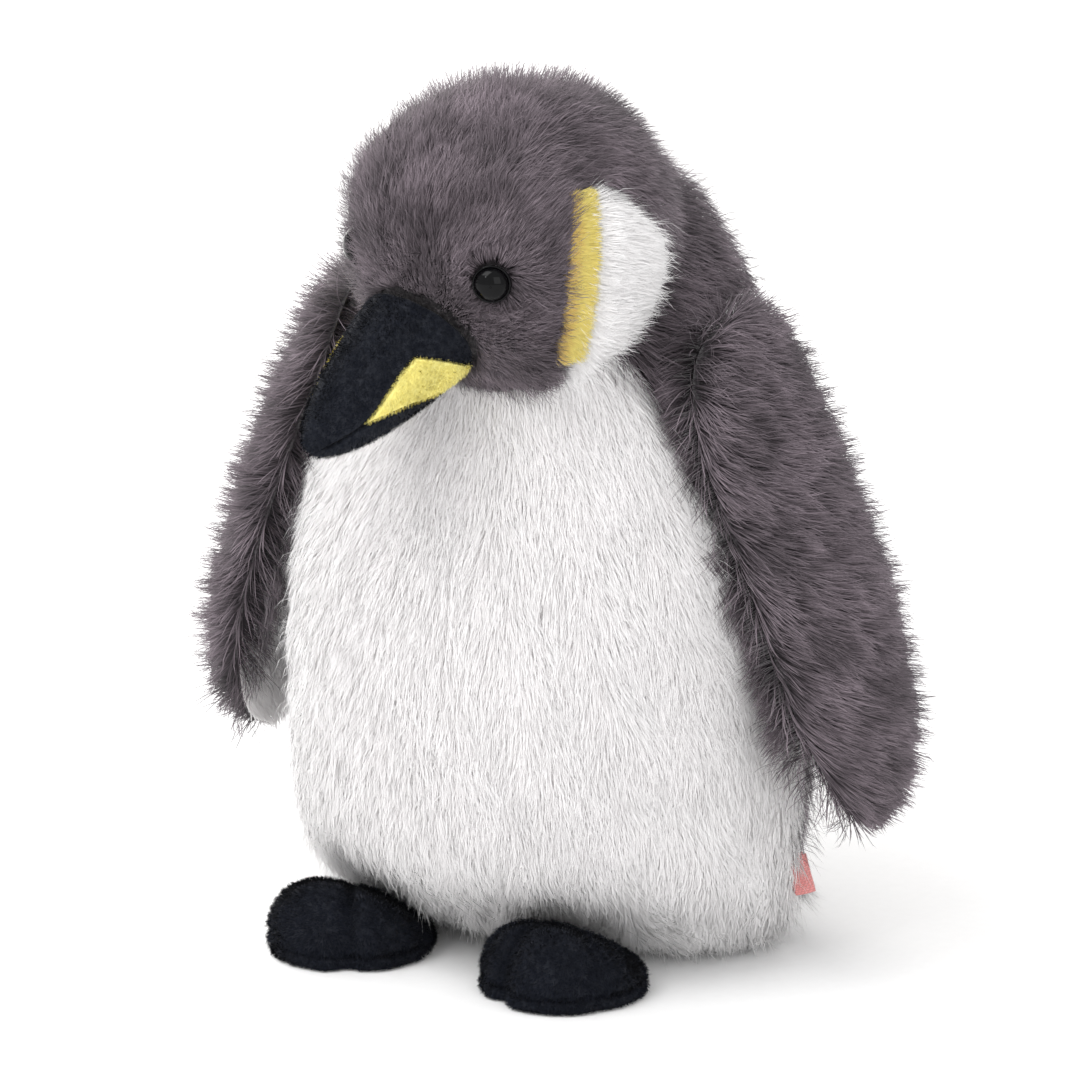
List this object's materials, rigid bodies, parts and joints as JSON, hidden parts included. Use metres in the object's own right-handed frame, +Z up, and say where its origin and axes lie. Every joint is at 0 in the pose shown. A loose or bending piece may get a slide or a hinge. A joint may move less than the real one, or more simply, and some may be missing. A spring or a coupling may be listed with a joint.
{
  "type": "plush penguin",
  "caption": "Seated stuffed penguin in grey and white long-pile fur fabric with black minky beak and feet, safety eyes, and wings, head and feet that flex at their seams.",
  "frame": {"origin": "middle of the flat base panel's underside, on the surface it rests on", "axes": "+Z up; the penguin faces -Y; +X is the penguin's left"},
  "size_m": [0.228, 0.1828, 0.284],
  "materials": {
    "grey_fur": "long-pile fur fabric, brushed",
    "white_fur": "long-pile fur fabric, brushed",
    "yellow_fur": "cut-pile fur fabric",
    "black_minky": "short-pile minky",
    "yellow_minky": "short-pile minky",
    "eye_plastic": "polished black",
    "washer_plastic": "moulded",
    "polyester_filling": "carded fibre",
    "bag_cotton": "plain woven",
    "pellet_plastic": "moulded pellets",
    "red_ribbon": "woven satin, plain"
  },
  "bodies": {
    "body": {"belly_panel": "white_fur", "back_panel_left": "grey_fur", "back_panel_right": "grey_fur", "base_panel": "white_fur", "body_filling": "polyester_filling", "pellet_bag": "bag_cotton", "pellets": "pellet_plastic"},
    "head": {"beak_filling": "polyester_filling", "beak_patch_left": "yellow_minky", "beak_patch_right": "yellow_minky", "beak_top": "black_minky", "beak_underside": "black_minky", "cheek_patch_left": "white_fur", "cheek_patch_right": "white_fur", "cheek_stripe_left": "yellow_fur", "cheek_stripe_right": "yellow_fur", "crown_panel": "grey_fur", "eye_left": "eye_plastic", "eye_right": "eye_plastic", "eye_washer_left": "washer_plastic", "eye_washer_right": "washer_plastic", "face_panel_left": "grey_fur", "face_panel_right": "grey_fur", "head_filling": "polyester_filling", "nape_panel_left": "grey_fur", "nape_panel_right": "grey_fur"},
    "wing_left": {"wing_outer_left": "grey_fur", "wing_lining_left": "white_fur", "wing_filling_left": "polyester_filling"},
    "foot_left": {"foot_top_left": "black_minky", "foot_sole_left": "black_minky", "foot_filling_left": "polyester_filling"},
    "wing_right": {"wing_outer_right": "grey_fur", "wing_lining_right": "white_fur", "wing_filling_right": "polyester_filling"},
    "foot_right": {"foot_top_right": "black_minky", "foot_sole_right": "black_minky", "foot_filling_right": "polyester_filling"},
    "label": {"sewn_label": "red_ribbon"}
  },
  "joints": [
    {"name": "neck_turn", "type": "hinge", "parent": "body", "child": "head", "pos_m": [0.006, -0.04867, 0.22214], "axis": [0, -0.6062, 0.7953], "range_deg": [-12, 12], "stiffness_Nm_per_rad": 1.2},
    {"name": "wing_left_lift", "type": "hinge", "parent": "body", "child": "wing_left", "pos_m": [0.063, -0.031, 0.208], "axis": [0, -1, 0], "range_deg": [0, 60]},
    {"name": "wing_right_lift", "type": "hinge", "parent": "body", "child": "wing_right", "pos_m": [-0.051, -0.031, 0.208], "axis": [0, 1, 0], "range_deg": [0, 60]},
    {"name": "foot_left_bend", "type": "hinge", "parent": "body", "child": "foot_left", "pos_m": [0.033, -0.046, 0.006], "axis": [-1, 0, 0], "range_deg": [0, 10], "stiffness_Nm_per_rad": 1},
    {"name": "foot_right_bend", "type": "hinge", "parent": "body", "child": "foot_right", "pos_m": [-0.044, -0.042, 0.006], "axis": [-1, 0, 0], "range_deg": [0, 10], "stiffness_Nm_per_rad": 1},
    {"name": "label_flap", "type": "hinge", "parent": "body", "child": "label", "pos_m": [0.07966, -0.00626, 0.03169], "axis": [0.277, -0.9609, 0], "range_deg": [-10, 60], "stiffness_Nm_per_rad": 0.0005}
  ]
}
